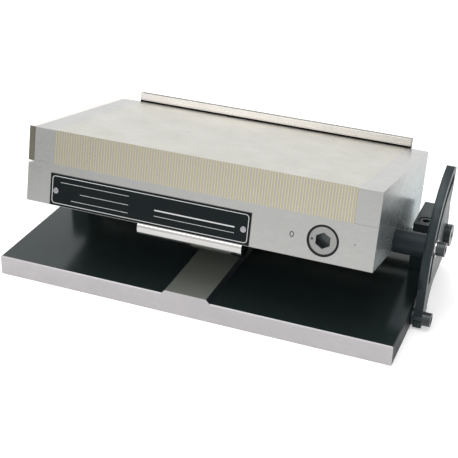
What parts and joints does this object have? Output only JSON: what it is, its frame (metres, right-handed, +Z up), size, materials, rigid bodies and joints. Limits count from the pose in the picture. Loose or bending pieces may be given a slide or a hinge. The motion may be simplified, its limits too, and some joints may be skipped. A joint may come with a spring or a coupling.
{
  "type": "magnetic sine table",
  "caption": "Tilting magnetic work table on a flat base, with sine rollers, a slotted sector plate with a clamp screw, raisable stops and a turn-on switch.",
  "frame": {"origin": "middle of the base plate's underside", "axes": "+X along the table to the sector plate's side, +Y from the front to the hinge, +Z up"},
  "size_m": [0.3154, 0.1682, 0.116],
  "materials": {
    "blackened_steel": "satin blackened steel",
    "ground_steel": "fine ground steel",
    "bright_steel": "polished hardened steel",
    "plain_steel": "milled steel",
    "pole_brass": "fine ground brass",
    "bush_bronze": "reamed bronze",
    "black_screw": "black oxide",
    "label_black": "gloss black with white rules",
    "magnet_grey": "plain ceramic magnet"
  },
  "bodies": {
    "base": {"base_plate": "blackened_steel", "hinge_block_right": "blackened_steel", "hinge_block_left": "blackened_steel", "hinge_bushes": "bush_bronze", "sector_plate": "blackened_steel", "sector_foot_screw": "black_screw", "sector_block_screw": "black_screw"},
    "table": {"housing": "ground_steel", "pole_end_left": "ground_steel", "pole_end_right": "ground_steel", "pole_laminations": "ground_steel", "pole_spacers": "pole_brass", "front_roller": "bright_steel", "rear_roller": "bright_steel", "nameplate": "label_black", "switch_ring": "black_screw", "clamp_boss": "blackened_steel"},
    "switch": {"switch_spindle": "bright_steel"},
    "magnets": {"magnet_carriage": "plain_steel", "flux_bars": "plain_steel", "magnet_blocks": "magnet_grey"},
    "clamp": {"clamp_screw": "black_screw", "clamp_washer": "bright_steel"},
    "end_stop": {"end_stop_plate": "ground_steel"},
    "back_stop": {"back_stop_rail": "ground_steel"}
  },
  "joints": [
    {"name": "table_tilt", "type": "hinge", "parent": "base", "child": "table", "pos_m": [0, 0.0525, 0.029], "axis": [-1, 0, 0], "range_deg": [-13.4, 33]},
    {"name": "switch_turn", "type": "hinge", "parent": "table", "child": "switch", "pos_m": [0.0936, -0.06214, 0.07647], "axis": [0, -0.9781, 0.2079], "range_deg": [-180, 0]},
    {"name": "magnet_shift", "type": "slide", "parent": "table", "child": "magnets", "axis": [1, 0, 0], "range_m": [0, 0.006]},
    {"name": "clamp_turn", "type": "hinge", "parent": "table", "child": "clamp", "pos_m": [0.15, -0.00481, 0.05634], "axis": [1, 0, 0], "range_deg": [0, 180]},
    {"name": "end_stop_lift", "type": "slide", "parent": "table", "child": "end_stop", "axis": [0, 0.2079, 0.9781], "range_m": [0, 0.007]},
    {"name": "back_stop_lift", "type": "slide", "parent": "table", "child": "back_stop", "axis": [0, 0.2079, 0.9781], "range_m": [-0.007, 0.003]}
  ],
  "couplings": [
    {"joint": "switch_turn", "follows": "magnet_shift", "rad_per_m": -523.59}
  ]
}
